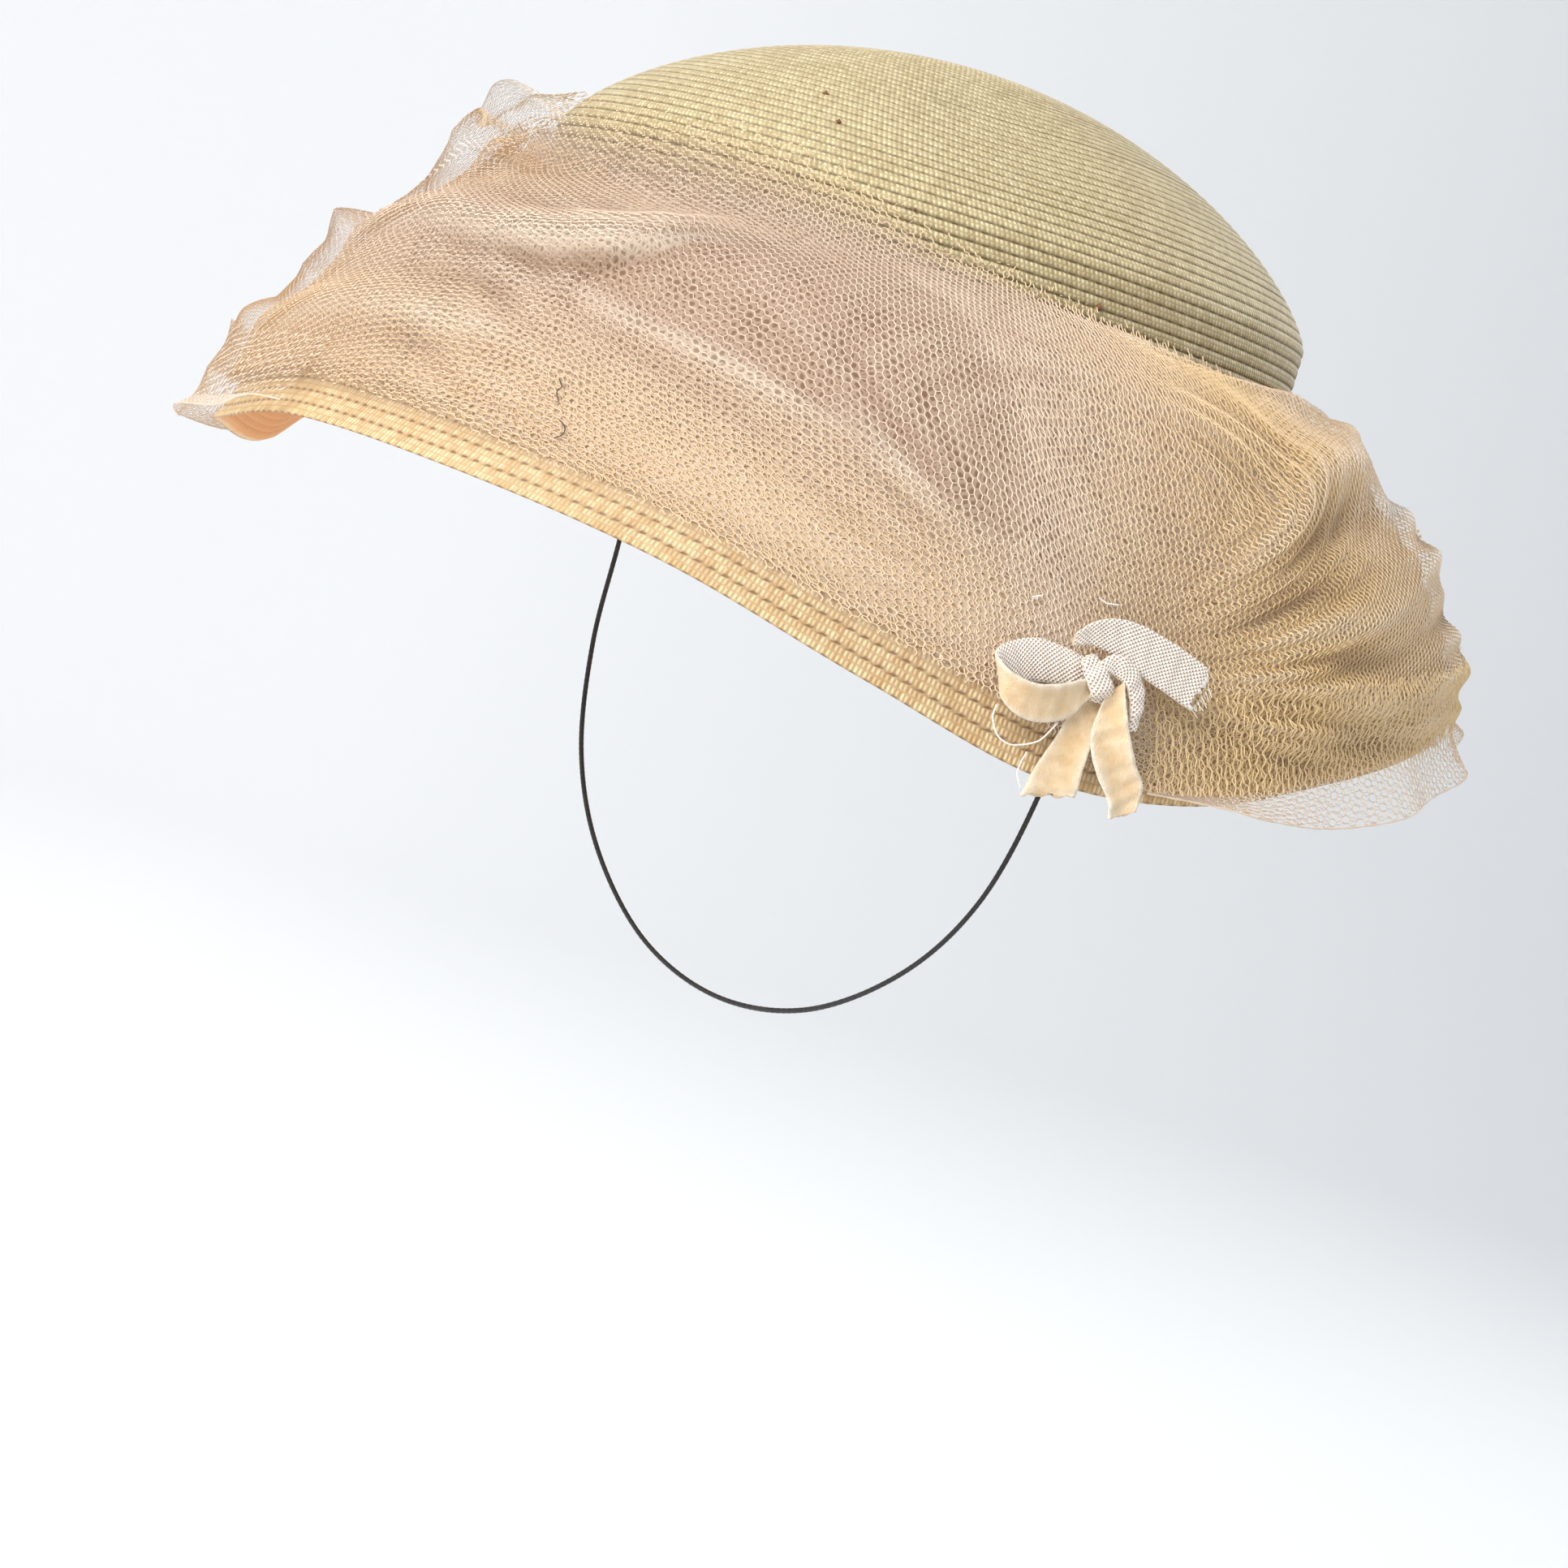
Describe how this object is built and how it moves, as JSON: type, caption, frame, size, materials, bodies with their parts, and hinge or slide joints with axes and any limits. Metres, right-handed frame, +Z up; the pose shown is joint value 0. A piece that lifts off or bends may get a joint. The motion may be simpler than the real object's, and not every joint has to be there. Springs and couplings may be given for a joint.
{
  "type": "straw hat with a net-draped brim",
  "caption": "Shallow-crowned straw hat whose drooping mushroom brim is draped in folds of hexagonal net, with a velvet ribbon bow at the rim and a thin chin elastic.",
  "frame": {"origin": "middle of the head opening, level with the crown's base", "axes": "+Z up the crown's axis, -Y to the front of the hat, +X to the wearer's left, where the bow is"},
  "size_m": [0.3126, 0.3001, 0.224],
  "materials": {
    "straw": "fine pale straw braid, sewn in rows, satin",
    "straw_brim": "golden straw braid, sewn in rows, satin",
    "net": "peach hexagonal net, matt",
    "velvet": "cream velvet with a twill back, matt",
    "elastic": "black braided elastic, matt"
  },
  "bodies": {
    "root": {"crown": "straw", "brim": "straw_brim", "tulle_swathe": "net", "tulle_ruffle": "net", "bow_knot": "velvet", "bow_loop": "velvet", "bow_tail_upper": "velvet", "bow_tail_front": "velvet", "bow_tail_back": "velvet", "chin_elastic": "elastic"}
  },
  "joints": []
}
